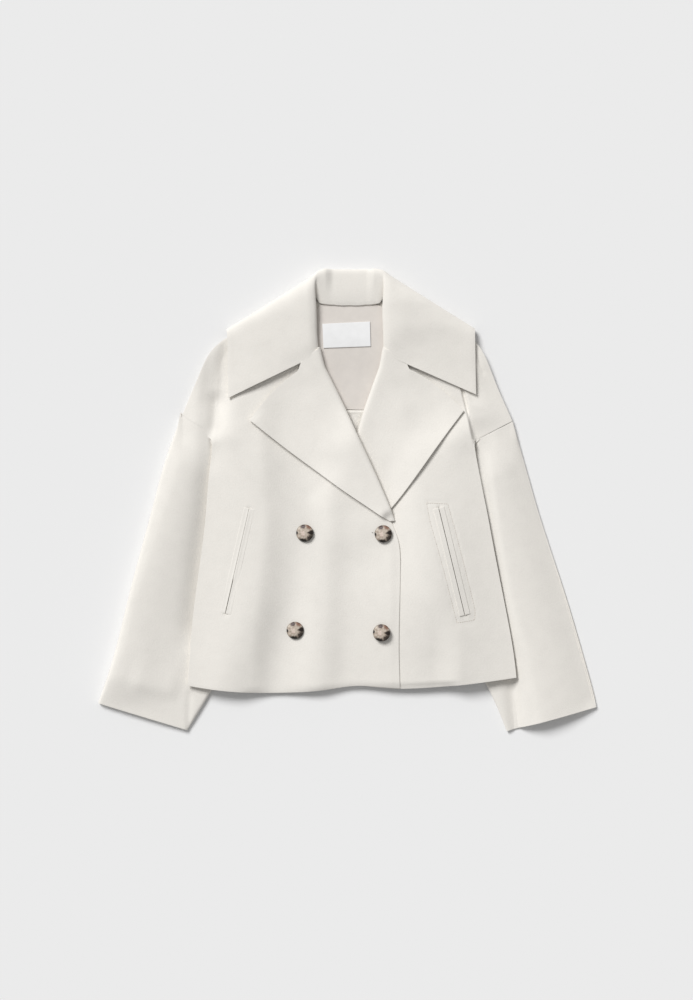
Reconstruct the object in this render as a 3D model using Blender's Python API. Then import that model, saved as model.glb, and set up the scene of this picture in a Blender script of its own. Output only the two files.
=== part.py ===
"""Cropped double-breasted short coat laid flat on its back, front up.

The frame is in metres with +Z up. The coat lies on z = 0 with its hem towards -Y and
its neck towards +Y. Left and right are the wearer's, so the right front, which laps
over the left one, is at -X. The tables are in millimetres.
"""

import math

import bmesh
import bpy
import numpy as np
from mathutils import Matrix, Vector
from mathutils.bvhtree import BVHTree

MM = 0.001

# Cloth, in millimetres
BODY_CLOTH = 2.4
LAPEL_CLOTH = 2.6
COLLAR_CLOTH = 2.4
LINING_CLOTH = 0.9
LABEL_CLOTH = 0.8
SEAM_GAP = 0.3
LAYER_GAP = 0.7

# Heights of the laid coat, in millimetres
SLEEVE_HEIGHT = 8.6
SLEEVE_CROWN = 1.4
SLEEVE_FOLD = 4.0
SLEEVE_REST = 0.5 * BODY_CLOTH + 0.06
LIFT_RAMP = 36.0
LIFT_LEAD = 18.0
COLLAR_LIFT_RAMP = 60.0
BODY_LOFT = 1.6
LAPEL_ROLL = 8.2
LAPEL_ROLL_AT_BREAK = 3.6
BREAK_HEIGHT = -52.0
EDGE_TUCK = 2.35
SIDE_STEP = 5.0

# Buttons and trims, in millimetres
BUTTON_DIAMETER = 28.0
BUTTON_HEIGHT = 7.0
SHANK_DIAMETER = 8.0
WELT_WIDTH = 8.0
WELT_CLOTH = 1.6

# Side of each panel: x, y at the side and x, y at the front edge or the roll line
FRONT_RIGHT_ROWS = (
    (-238.0, -278.0, 79.0, -282.5),
    (-231.0, -181.0, 77.0, -210.5),
    (-217.5, -80.0, 79.0, -121.0),
    (-211.5, -31.0, 77.5, -56.0),
    (-207.0, 29.0, 57.0, 4.0),
    (-200.0, 88.0, 13.5, 100.0),
    (-195.0, 115.0, -9.0, 149.0),
    (-195.0, 160.0, -30.0, 191.0),
    (-193.0, 206.0, -43.0, 240.0),
    (-168.0, 246.0, -48.0, 318.0),
)
FRONT_LEFT_ROWS = (
    (253.0, -266.0, -52.0, -281.0),
    (246.0, -210.0, -48.0, -210.0),
    (221.0, -83.0, -32.0, -110.0),
    (211.5, -31.0, -14.0, -38.0),
    (199.5, 29.0, 4.5, 52.0),
    (188.5, 87.0, 20.0, 120.0),
    (178.0, 137.0, 38.0, 168.0),
    (169.5, 167.0, 51.0, 205.0),
    (160.0, 224.0, 55.0, 250.0),
    (160.0, 250.0, 54.0, 320.0),
)
SIDE_ROW = 5

# Dropped shoulder outside the side fold: x, y at its outer edge, from armhole to collar
SHOULDER_RIGHT = (
    (-248.5, 121.0),
    (-236.0, 152.0),
    (-223.5, 181.0),
    (-206.0, 220.0),
    (-182.0, 241.0),
)
SHOULDER_LEFT = (
    (247.5, 117.5),
    (234.0, 148.0),
    (223.5, 172.0),
    (206.0, 217.0),
    (190.0, 239.0),
)

# Back: x, y of the right side, then x, y of the left side, from hem to shoulder
BACK_ROWS = (
    (-237.0, -276.0, 252.0, -264.0),
    (-230.0, -181.0, 245.0, -210.0),
    (-216.5, -80.0, 220.0, -83.0),
    (-206.0, 29.0, 198.5, 29.0),
    (-200.0, 88.0, 188.5, 87.0),
    (-248.0, 120.7, 247.0, 117.3),
    (-235.0, 152.0, 233.0, 148.0),
    (-222.5, 181.0, 222.5, 172.0),
    (-205.0, 219.0, 205.0, 216.0),
    (-182.0, 240.0, 189.0, 238.0),
)
# Top of the back: x, y along one shoulder, the neck and the other shoulder
BACK_TOP = (
    (-182.0, 239.0),
    (-60.0, 314.0),
    (-50.0, 292.0),
    (4.0, 286.0),
    (57.0, 292.0),
    (68.0, 312.0),
    (189.0, 238.0),
)
# Dip of each hem between its ends, and how far it leans to the side away from the front edge
HEMS = {
    "back": (7.0, 0.0),
    "front_left": (9.0, 0.0),
    "front_right": (17.0, 1.0),
}

# How a laid panel is raised clear of the pieces below it
CHECK_SHARES = (0.0, 0.25, 0.5, 0.75, 1.0)
LAYING_ROUNDS = 6
CLEARANCE = 0.45
FRONT_CLEARANCE = 0.9
SHOULDER_CLEARANCE = 1.5

# Shares across a front from its side, and across its dropped shoulder from the fold
FRONT_SHARES = (0.0, 0.02, 0.08, 0.17, 0.27, 0.37, 0.47, 0.57, 0.67, 0.77, 0.86, 0.94, 1.0)
SHOULDER_SHARES = (0.0, 0.09, 0.38, 0.70, 1.0)
FOLD_RUN = 7.0

# Sleeves: x, y of the outer fold, then x, y of the fold under the body
SLEEVE_RIGHT_ROWS = (
    (-248.5, 120.4, -127.0, 37.8),
    (-271.5, 59.5, -114.0, 0.0),
    (-295.5, -30.5, -115.0, -62.0),
    (-321.0, -123.5, -140.0, -160.0),
    (-348.0, -233.0, -190.0, -262.0),
    (-372.0, -305.0, -240.0, -345.0),
)
SLEEVE_LEFT_ROWS = (
    (247.5, 116.9, 124.5, 53.3),
    (270.0, 37.0, 118.0, 5.0),
    (289.5, -30.5, 120.0, -60.0),
    (328.5, -150.5, 150.0, -170.0),
    (363.0, -270.5, 214.0, -285.0),
    (373.0, -311.0, 240.0, -346.5),
)

# Lapels: x, y on the roll line, then x, y on the outer edge, from gorge to break
LAPEL_RIGHT_ROWS = (
    (-41.5, 213.5, -145.5, 118.7),
    (-30.0, 191.4, -127.5, 104.5),
    (-9.0, 149.4, -85.5, 71.5),
    (13.5, 99.9, -40.0, 38.5),
    (34.5, 54.9, -3.0, 11.5),
    (57.0, 3.9, 36.0, -14.5),
    (73.0, -35.0, 66.0, -35.5),
)
LAPEL_LEFT_ROWS = (
    (54.5, 213.5, 174.8, 132.9),
    (46.5, 191.4, 155.0, 107.0),
    (34.5, 158.4, 127.0, 69.0),
    (20.0, 116.0, 95.0, 24.0),
    (6.0, 62.0, 60.0, -20.0),
    (-8.0, 8.0, 20.0, -52.0),
    (-19.0, -50.0, -12.0, -62.0),
)
LAPEL_TOP_BOW = 9.0
LAPEL_SHARES = (0.12, 0.28, 0.46, 0.64, 0.82, 1.0)

# Collar, from the right gorge round the neck to the left gorge. Each row has the seam
# edge, the roll and the outer edge as x, y, z, then the height where the fall lands past
# its roll, and the tilt of the cloth at the roll (90 turns up and over, -90 turns down
# and under) with its heading, in degrees.
COLLAR_ROWS = (
    (-51.5, 214.0, 9.2, -42.0, 217.5, 13.4, -177.0, 152.0, 11.0, 17.6, 90, 200),
    (-54.0, 246.0, 9.8, -45.0, 246.0, 14.5, -178.5, 192.0, 11.5, 19.5, 90, 180),
    (-55.5, 280.0, 10.2, -46.0, 286.0, 17.0, -178.5, 225.0, 12.0, 21.5, 82, 160),
    (-56.5, 296.0, 10.4, -48.5, 317.0, 19.6, -179.0, 246.0, 12.5, 22.0, 42, 150),
    (-52.5, 304.0, 9.8, -46.5, 335.0, 16.5, -179.0, 255.0, 7.0, 15.5, -12, 146),
    (-38.0, 300.0, 9.0, -34.0, 345.0, 13.0, -167.0, 250.0, 1.9, 3.4, -75, 120),
    (-20.0, 294.0, 8.8, -20.0, 345.0, 12.5, -84.0, 246.0, 1.7, 1.9, -90, 95),
    (4.0, 291.5, 8.6, 4.0, 345.0, 12.5, 4.0, 262.0, 1.7, 1.8, -90, 90),
    (28.0, 294.0, 8.8, 29.0, 345.0, 12.5, 94.0, 246.0, 1.7, 1.9, -90, 85),
    (46.0, 300.0, 9.0, 44.0, 345.0, 13.0, 178.0, 250.0, 1.9, 3.4, -75, 60),
    (61.0, 304.0, 9.8, 55.0, 339.0, 16.5, 190.0, 256.0, 7.0, 15.5, -12, 34),
    (65.0, 296.0, 10.4, 55.5, 320.0, 19.6, 191.0, 247.0, 12.5, 22.0, 42, 30),
    (63.0, 280.0, 10.2, 53.0, 286.0, 17.0, 191.5, 225.0, 14.0, 21.5, 82, 20),
    (64.0, 246.0, 9.8, 54.5, 246.0, 14.5, 192.0, 194.0, 14.0, 19.5, 90, 0),
    (64.5, 214.0, 9.2, 55.0, 217.5, 13.4, 192.8, 157.0, 14.0, 17.6, 90, -25),
)
COLLAR_LANDING = 13.0
COLLAR_SHARES = (0.0, 0.12, 0.3, 0.5, 0.75, 1.0)
COLLAR_LEAF_ROWS = 12

# Pockets: x, y of the upper and the lower end of the slit
POCKET_LEFT = (136.5, -12.0, 175.5, -172.0)
POCKET_RIGHT = (-145.5, -13.0, -181.5, -170.0)

# Buttons: x, y
BUTTONS = {
    "button_upper_right": (-63.0, -50.0),
    "button_upper_left": (54.0, -51.0),
    "button_lower_right": (-77.5, -195.5),
    "button_lower_left": (51.5, -198.5),
}

LABEL_CORNERS = ((-36.9, 263.0), (34.5, 266.4), (35.4, 229.4), (-35.2, 226.8))
LINING_ROWS = (
    (-49.0, 289.0, 57.0, 289.0),
    (-50.0, 246.0, 61.0, 246.0),
    (-36.0, 190.0, 58.0, 190.0),
    (-22.0, 156.0, 46.0, 156.0),
    (-13.0, 134.5, 36.0, 134.5),
)
BAND_ROWS = (
    (-13.0, 134.0, 36.0, 134.0),
    (-10.0, 127.5, 34.0, 127.5),
    (0.0, 110.0, 30.0, 110.0),
    (4.0, 94.0, 24.0, 94.0),
)

COAT = ("coat_cloth", (0.80, 0.77, 0.71), 0.9)
SLEEVE = ("sleeve_cloth", (0.76, 0.73, 0.67), 0.9)
LINING = ("lining", (0.66, 0.61, 0.56), 0.55)
LABEL = ("label", (0.90, 0.90, 0.89), 0.6)
HORN = ("tortoiseshell", (0.24, 0.17, 0.12), 0.25)


def smoothstep(value):
    value = np.clip(value, 0.0, 1.0)
    return value * value * (3.0 - 2.0 * value)


def through(rows, count):
    """Rows of a table, read at count places from a smooth curve through them."""
    rows = np.asarray(rows, float)
    place = np.linspace(0.0, 1.0, count) * (len(rows) - 1)
    cell = np.minimum(place.astype(int), len(rows) - 2)
    part = (place - cell)[:, None]
    before = rows[np.maximum(cell - 1, 0)]
    start = rows[cell]
    end = rows[cell + 1]
    after = rows[np.minimum(cell + 2, len(rows) - 1)]
    return start + 0.5 * part * (
        end
        - before
        + part * (2 * before - 5 * start + 4 * end - after + part * (3 * (start - end) + after - before))
    )


def ruled(rows, across):
    """Plan of a panel: each row runs straight from its first point to its second."""
    rows = np.asarray(rows, float)
    share = np.asarray(across)[None, :]
    x = rows[:, 0:1] + (rows[:, 2:3] - rows[:, 0:1]) * share
    y = rows[:, 1:2] + (rows[:, 3:4] - rows[:, 1:2]) * share
    return x, y


def inner_fold(sleeve_rows, y):
    """x of the sleeve's fold under the body, at height y of the plan."""
    rows = np.asarray(sleeve_rows)[::-1]
    return np.interp(y, rows[:, 3], rows[:, 2])


def sleeve_lift(x, y):
    """0 clear of the sleeves to 1 above them, with a soft ramp beside them."""
    lift = np.zeros_like(x)
    for rows, body_rows in (
        (SLEEVE_RIGHT_ROWS, FRONT_RIGHT_ROWS),
        (SLEEVE_LEFT_ROWS, FRONT_LEFT_ROWS),
    ):
        out_x, out_y, in_x, in_y = rows[0]
        sign = math.copysign(1.0, out_x)
        slope = (out_y - in_y) / (out_x - in_x)
        before_end = (in_y + slope * (x - in_x) - y) / math.hypot(1.0, slope)
        inside = sign * (x - inner_fold(rows, y)) * 0.95
        nearest = np.minimum(inside, before_end)
        risen = smoothstep((nearest + LIFT_LEAD + LIFT_RAMP) / LIFT_RAMP)
        corner = abs(body_rows[SIDE_ROW][0])
        past_corner = smoothstep((sign * x - corner) / 30.0) * smoothstep((3.0 - before_end) / 2.0)
        lift = np.maximum(lift, risen * (1.0 - past_corner))
    return lift


def collar_lift(x, y):
    """0 clear of the collar's fall under the back to 1 above it."""
    edge = np.asarray(COLLAR_ROWS)[4:11, 6:8]
    border = np.interp(x, edge[:, 0], edge[:, 1])
    risen = smoothstep((y - border + LIFT_LEAD + COLLAR_LIFT_RAMP) / COLLAR_LIFT_RAMP)
    side = smoothstep((x + 212.0) / 26.0) * smoothstep((222.0 - x) / 26.0)
    return risen * side


def back_under(x, y):
    """Height of the back's underside: flat on the surface, higher over sleeves and collar."""
    over_sleeve = (SLEEVE_HEIGHT + LAYER_GAP) * sleeve_lift(x, y)
    over_collar = (COLLAR_CLOTH + LAYER_GAP + 0.6) * collar_lift(x, y)
    return over_sleeve + over_collar


def soft_folds(x, y):
    """Shallow vertical troughs and swells of the fronts."""
    valley_x = -118.0 + 0.05 * y + 5.0 * np.sin(y / 95.0)
    valley = -np.exp(-(((x - valley_x) / 17.0) ** 2)) * smoothstep((130.0 - y) / 120.0)
    swell = np.exp(-(((x - 150.0 - 0.12 * y) / 34.0) ** 2)) * smoothstep((40.0 - y) / 160.0)
    middle = 0.5 * np.exp(-(((x - 2.0) / 30.0) ** 2)) * smoothstep((-60.0 - y) / 90.0)
    return 1.5 * valley + 1.3 * swell + middle


def side_share(x, y):
    """0 at the side edges of the body to 1 well inside them."""
    left = np.interp(y, [r[1] for r in FRONT_LEFT_ROWS[:8]], [r[0] for r in FRONT_LEFT_ROWS[:8]])
    right = np.interp(y, [r[1] for r in FRONT_RIGHT_ROWS[:8]], [r[0] for r in FRONT_RIGHT_ROWS[:8]])
    return smoothstep(np.minimum(left - x, x - right) / 34.0)


def side_x(rows, y):
    """x of a front's side edge, and of its side fold above the armhole."""
    rows = np.asarray(rows)
    return np.interp(y, rows[:, 1], rows[:, 0])


def side_step(rows, x, y):
    """Rise of a front towards its side fold, which lies over the dropped shoulder."""
    sign = math.copysign(1.0, rows[0][0])
    from_fold = sign * (side_x(rows, y) - x)
    rise = SIDE_STEP * smoothstep((y - 60.0) / 40.0)
    if sign < 0:
        rise = rise * smoothstep((215.0 - y) / 90.0)
    return rise * smoothstep((60.0 - from_fold) / 55.0) * (from_fold > -0.5)


def shoulder_under(x, y):
    """Underside of a front where it lies straight on the back."""
    loft = BODY_LOFT + soft_folds(x, y)
    return back_under(x, y) + BODY_CLOTH + LAYER_GAP + np.maximum(loft * side_share(x, y), 0.0)


def left_front_under(x, y):
    return shoulder_under(x, y) + side_step(FRONT_LEFT_ROWS, x, y)


def left_edge(y):
    """x of the left front's hidden front edge and roll line."""
    rows = np.asarray(FRONT_LEFT_ROWS)
    return np.interp(y, rows[:, 3], rows[:, 2])


def left_lapel_cover(x, y):
    """0 clear of the left lapel to 1 above it."""
    rows = np.asarray(LAPEL_LEFT_ROWS)[::-1]
    roll = np.interp(y, rows[:, 1], rows[:, 0])
    lower = np.interp(x, rows[:, 2], rows[:, 3])
    return smoothstep((x - roll + 30.0) / 22.0) * smoothstep((y - lower + 34.0) / 24.0)


def roll_reach(y):
    """How far a lapel's lower leg reaches in under it from its roll."""
    return 0.8 * lapel_rise(y)


def lapel_rise(y):
    """Height of a lapel over its front at the roll, from the break to the gorge."""
    return LAPEL_ROLL_AT_BREAK + (LAPEL_ROLL - LAPEL_ROLL_AT_BREAK) * smoothstep((y + 60.0) / 190.0)


def right_front_under(x, y):
    """Underside of the right front: over the back, the left front and the left lapel."""
    over_front = (BODY_CLOTH + LAYER_GAP) * smoothstep((x - left_edge(y) + 40.0) / 30.0)
    over_lapel = (lapel_rise(y) + LAYER_GAP + 0.4) * left_lapel_cover(x, y)
    return shoulder_under(x, y) + over_front + over_lapel + side_step(FRONT_RIGHT_ROWS, x, y)


def material(finish):
    name, colour, roughness = finish
    made = bpy.data.materials.get(name) or bpy.data.materials.new(name)
    made.use_nodes = True
    shader = made.node_tree.nodes["Principled BSDF"]
    shader.inputs["Base Color"].default_value = (*colour, 1.0)
    shader.inputs["Roughness"].default_value = roughness
    shader.inputs["Metallic"].default_value = 0.0
    return made


def place(name, mesh_data, finish):
    mesh = bpy.data.meshes.new(name)
    mesh_data.to_mesh(mesh)
    mesh_data.free()
    piece = bpy.data.objects.new(name, mesh)
    piece.data.materials.append(material(finish))
    mesh.shade_smooth()
    mesh.set_sharp_from_angle(angle=math.radians(40))
    bpy.context.scene.collection.objects.link(piece)
    return piece


def grid(shape, points):
    """A grid of faces whose corners are the given rows of points, facing up."""
    rows, columns = points.shape[:2]
    first = len(shape.verts)
    bmesh.ops.create_grid(shape, x_segments=columns - 1, y_segments=rows - 1, size=1.0)
    shape.verts.ensure_lookup_table()
    for row in range(rows):
        for column in range(columns):
            shape.verts[first + row * columns + column].co = points[row, column] * MM


def sheet(name, patches, thickness, finish, even=True):
    """Cloth wall round the middle surface that the patches of points give."""
    shape = bmesh.new()
    for points in patches:
        grid(shape, points)
    bmesh.ops.remove_doubles(shape, verts=shape.verts, dist=0.05 * MM)
    piece = place(name, shape, finish)
    wall = piece.modifiers.new("wall", "SOLIDIFY")
    wall.thickness = thickness * MM
    wall.offset = 0.0
    wall.use_even_offset = even
    return piece


def middle(x, y, under, thickness):
    return np.dstack((x, y, under + 0.5 * thickness))


def solid_of(piece):
    return BVHTree.FromObject(piece, bpy.context.evaluated_depsgraph_get())


def top_of(spots, below):
    """Highest surface of the pieces below, at each spot of the plan; zero beside them."""
    tops = np.zeros(len(spots))
    for index, (x, y) in enumerate(spots):
        start = Vector((x * MM, y * MM, 1.0))
        for solid in below:
            hit = solid.ray_cast(start, Vector((0.0, 0.0, -1.0)))[0]
            if hit is not None:
                tops[index] = max(tops[index], hit.z / MM)
    return tops


def corner_weights(u, v):
    """Weights of a quad's four corners at u down and v across it, on both its diagonals."""
    if v >= u:
        along = (1 - v, v - u, 0.0, u)
    else:
        along = (1 - u, 0.0, u - v, v)
    if u + v <= 1.0:
        against = (1 - u - v, v, u, 0.0)
    else:
        against = (0.0, 1 - u, 1 - v, u + v - 1)
    return along, against


def laid_on(points, thickness, below, clearance=CLEARANCE):
    """Raises the points of a middle surface until its wall clears the pieces below."""
    points = points.copy()
    rows, columns = points.shape[:2]
    solids = [solid_of(piece) for piece in below]
    corners = ((0, 0), (0, 1), (1, 0), (1, 1))
    looks = [weights for u in CHECK_SHARES for v in CHECK_SHARES for weights in corner_weights(u, v)]
    for _ in range(LAYING_ROUNDS):
        raised = np.zeros((rows, columns))
        for weights in looks:
            quads = [points[i:rows - 1 + i, j:columns - 1 + j] for i, j in corners]
            spots = sum(weight * quad for weight, quad in zip(weights, quads))
            tops = top_of(spots[:, :, :2].reshape(-1, 2), solids).reshape(rows - 1, columns - 1)
            lack = tops + clearance + 0.55 * thickness - spots[:, :, 2]
            lack = np.where(tops > 0.0, np.maximum(lack, 0.0), 0.0)
            for (i, j), weight in zip(corners, weights):
                block = raised[i:rows - 1 + i, j:columns - 1 + j]
                np.maximum(block, lack * min(1.0, 2.0 * weight), out=block)
        points[:, :, 2] += raised
    return points


def hem_bow(name, x):
    """How far the hem dips between its ends, fading out over the first rows."""
    dip, lean = HEMS[name]
    share = (x[0] - x[0, 0]) / (x[0, -1] - x[0, 0])
    fade = np.clip(1.0 - np.arange(len(x)) / 4.0, 0.0, 1.0)
    return dip * fade[:, None] * (np.sin(np.pi * share) * (1.0 - lean * share))[None, :]


def front(name, rows, shoulder, under, below):
    """One front: the part inside the side fold and the dropped shoulder outside it."""
    lower = through(rows[: SIDE_ROW + 1], 12)
    upper = through(rows[SIDE_ROW:], 9)
    body_rows = np.vstack((lower, upper[1:]))
    sign = math.copysign(1.0, rows[0][0])
    roll_y = body_rows[:, 3]
    tucked = EDGE_TUCK * roll_reach(roll_y) * smoothstep((roll_y - BREAK_HEIGHT) / 16.0)
    body_rows[:, 2] += sign * tucked
    x, y = ruled(body_rows, FRONT_SHARES)
    y = y - hem_bow(name, x)
    body = laid_on(middle(x, y, under(x, y), BODY_CLOTH), BODY_CLOTH, below, FRONT_CLEARANCE)

    inner_edge = upper[:, 0:2]
    outer_edge = through(shoulder, len(upper))
    widths = np.linalg.norm(outer_edge - inner_edge, axis=1)
    x, y = ruled(np.hstack((inner_edge, outer_edge)), SHOULDER_SHARES)
    run = np.minimum(FOLD_RUN / widths, 0.6)[:, None]
    past_run = (np.asarray(SHOULDER_SHARES[1:]) - SHOULDER_SHARES[1]) / (1.0 - SHOULDER_SHARES[1])
    shares = run + (1.0 - run) * past_run[None, :]
    x[:, 1:] = inner_edge[:, 0:1] + (outer_edge - inner_edge)[:, 0:1] * shares
    y[:, 1:] = inner_edge[:, 1:2] + (outer_edge - inner_edge)[:, 1:2] * shares
    patch = middle(x, y, shoulder_under(x, y), BODY_CLOTH)
    patch = laid_on(patch, BODY_CLOTH, below, SHOULDER_CLEARANCE)
    body[len(lower) - 1:, 0, 2] = np.maximum(body[len(lower) - 1:, 0, 2], patch[:, 0, 2])
    patch[:, 0] = body[len(lower) - 1:, 0]
    if sign > 0.0:
        body = body[:, ::-1]
    else:
        patch = patch[:, ::-1]
    return sheet(name, (body, patch), BODY_CLOTH, COAT)


def back():
    rows = np.vstack((through(BACK_ROWS[:5], 13), through(BACK_ROWS[5:], 10)))
    across = np.linspace(0.0, 1.0, 25)
    x, y = ruled(rows, across)
    y = y - hem_bow("back", x)
    shoulder = np.interp(x[-1], [point[0] for point in BACK_TOP], [point[1] for point in BACK_TOP])
    head = smoothstep((np.arange(len(x)) - 13.0) / (len(x) - 14.0))[:, None]
    y = y + (shoulder - y[-1])[None, :] * head
    return sheet("back", (middle(x, y, back_under(x, y), BODY_CLOTH),), BODY_CLOTH, COAT)


def sleeve(name, rows):
    """Flattened tube, flat underneath, with round folds and an open cuff."""
    rise = SLEEVE_HEIGHT - SLEEVE_CROWN - BODY_CLOTH
    fold = [math.pi * k / 4 for k in (1, 2, 3)]
    flat = [0.5 - 0.5 * math.cos(math.pi * k / 8) for k in range(9)]
    rings = []
    for out_x, out_y, in_x, in_y in through(rows, 15):
        start = np.array((out_x, out_y))
        width = math.hypot(in_x - out_x, in_y - out_y)
        across = (np.array((in_x, in_y)) - start) / width
        section = [(SLEEVE_FOLD + share * (width - 2 * SLEEVE_FOLD), 0.0) for share in flat]
        section += [
            (width - SLEEVE_FOLD * (1 - math.sin(angle)), 0.5 * rise * (1 - math.cos(angle)))
            for angle in fold
        ]
        section += [
            (SLEEVE_FOLD + share * (width - 2 * SLEEVE_FOLD), rise + SLEEVE_CROWN * math.sin(math.pi * share))
            for share in reversed(flat)
        ]
        section += [
            (SLEEVE_FOLD * (1 - math.sin(angle)), 0.5 * rise * (1 + math.cos(angle))) for angle in fold
        ]
        section.append(section[0])
        rings.append([(*(start + across * along), high + SLEEVE_REST) for along, high in section])
    rings = np.asarray(rings)
    if rows[0][0] > 0.0:
        rings = rings[:, ::-1]
    return sheet(name, (rings,), BODY_CLOTH, SLEEVE)


def lapel(name, rows, under, bow_side, carriers, below):
    """Turned-back lapel: it rolls up past the carriers and lies back over the piece below."""
    stations = through(rows, 13)
    solids = [solid_of(piece) for piece in carriers]
    curls = []
    lying = []
    for index, (roll_x, roll_y, edge_x, edge_y) in enumerate(stations):
        roll = np.array((roll_x, roll_y))
        out = np.array((edge_x - roll_x, edge_y - roll_y))
        width = np.linalg.norm(out)
        out = out / width
        sideways = np.array((-out[1], out[0])) * bow_side
        rise = float(lapel_rise(roll_y))
        reach = min(float(roll_reach(roll_y)), 0.4 * width)
        bow = LAPEL_TOP_BOW * max(0.0, 1.0 - 5.0 * index / (len(stations) - 1))
        base = roll + out * reach
        seat = float(under(base[0:1], base[1:2])[0]) + 0.5 * BODY_CLOTH
        carried = float(np.max(top_of((base, roll), solids))) + CLEARANCE + 0.5 * LAPEL_CLOTH
        seat = max(seat, carried)
        curl = []
        for angle in np.linspace(0.0, math.pi, 6):
            spot = roll + out * reach * (1.0 - math.sin(angle))
            curl.append((*spot, seat + 0.5 * rise * (1.0 - math.cos(angle))))
        curls.append(curl[:-1])
        line = [curl[-1]]
        for part in LAPEL_SHARES:
            spot = roll + out * (reach + (width - reach) * part) + sideways * bow * math.sin(math.pi * part)
            rest = float(under(spot[0:1], spot[1:2])[0]) + BODY_CLOTH + LAYER_GAP + 0.5 * LAPEL_CLOTH
            line.append((*spot, rest + max(seat + rise - rest, 0.0) * (1.0 - part) ** 1.6))
        lying.append(line)
    lying = laid_on(np.asarray(lying), LAPEL_CLOTH, below, FRONT_CLEARANCE)
    return sheet(name, (np.concatenate((np.asarray(curls), lying), axis=1),), LAPEL_CLOTH, COAT)


def hermite(start, end, start_pull, end_pull, shares):
    s = np.asarray(shares)[:, None]
    return (
        (2 * s**3 - 3 * s**2 + 1) * start
        + (s**3 - 2 * s**2 + s) * start_pull
        + (-2 * s**3 + 3 * s**2) * end
        + (s**3 - s**2) * end_pull
    )


def collar(below):
    """Collar: a stand that leans back from the neck, its roll and a wide fall."""
    stations = through(COLLAR_ROWS, 43)
    points = []
    for row in stations:
        seam, roll, edge, landing_z = row[0:3], row[3:6], row[6:9], row[9]
        tilt, heading = math.radians(row[10]), math.radians(row[11])
        facing = np.array((
            math.cos(tilt) * math.cos(heading),
            math.cos(tilt) * math.sin(heading),
            math.sin(tilt),
        ))
        outward = (edge - roll) * (1.0, 1.0, 0.0)
        outward = outward / np.linalg.norm(outward)
        landing = roll + outward * COLLAR_LANDING
        landing[2] = landing_z
        stand_pull = facing * 0.6 * np.linalg.norm(roll - seam)
        stand = hermite(seam, roll, 0.9 * (roll - seam), stand_pull, (0, 0.4, 0.76))
        turn_pull = facing * (4.0 + 1.2 * abs(landing_z - roll[2]))
        turn = hermite(roll, landing, turn_pull, outward * 10.0, (0, 0.34, 0.66))
        share = np.array(COLLAR_SHARES)[:, None]
        fall = landing + (edge - landing) * share
        fall[:, 2] = edge[2] + (landing_z - edge[2]) * (1.0 - share[:, 0]) ** 1.5
        points.append(np.vstack((stand, turn, fall)))
    points = np.asarray(points)
    points[:, :, 2] = np.maximum(points[:, :, 2], 0.5 * COLLAR_CLOTH + 0.1)
    leaf = COLLAR_LEAF_ROWS
    for rows in (slice(0, leaf), slice(len(points) - leaf, len(points))):
        points[rows, 6:] = laid_on(points[rows, 6:], COLLAR_CLOTH, below)
    return sheet("collar", (points,), COLLAR_CLOTH, COAT, even=False)


def neck_pieces(back_panel):
    """The back with its lining, the lower band and the bare label, seen in the neck."""
    upper_right, upper_left, lower_left, lower_right = LABEL_CORNERS
    label_rows = ((*upper_right, *upper_left), (*lower_right, *lower_left))
    below = [back_panel]
    for name, rows, down, across, thickness, finish in (
        ("back_neck_lining", LINING_ROWS, 9, 7, LINING_CLOTH, LINING),
        ("lining_band", BAND_ROWS, 4, 5, LINING_CLOTH, COAT),
        ("neck_label", label_rows, 4, 6, LABEL_CLOTH, LABEL),
    ):
        x, y = ruled(through(rows, down), np.linspace(0.0, 1.0, across))
        points = middle(x, y, back_under(x, y) + BODY_CLOTH, thickness)
        below.append(sheet(name, (laid_on(points, thickness, below)[::-1],), thickness, finish))
    return below


def welts(side, pocket, panel):
    """The two lips of one slanted pocket, either side of its slit."""
    top = np.array(pocket[0:2])
    bottom = np.array(pocket[2:4])
    along = (bottom - top) / np.linalg.norm(bottom - top)
    sideways = np.array((-along[1], along[0]))
    outer = 1.0 if sideways[0] * top[0] > 0 else -1.0
    for lip, reach in (("outer", outer), ("inner", -outer)):
        near = sideways * reach * 0.5 * SEAM_GAP
        far = sideways * reach * (0.5 * SEAM_GAP + WELT_WIDTH)
        left, right = (near, far) if (sideways * reach)[0] > 0 else (far, near)
        rows = ((*(bottom + left), *(bottom + right)), (*(top + left), *(top + right)))
        x, y = ruled(through(rows, 11), np.linspace(0.0, 1.0, 3))
        points = laid_on(middle(x, y, np.zeros_like(x), WELT_CLOTH), WELT_CLOTH, (panel,))
        sheet(f"welt_{side}_{lip}", (points,), WELT_CLOTH, COAT)


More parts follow.
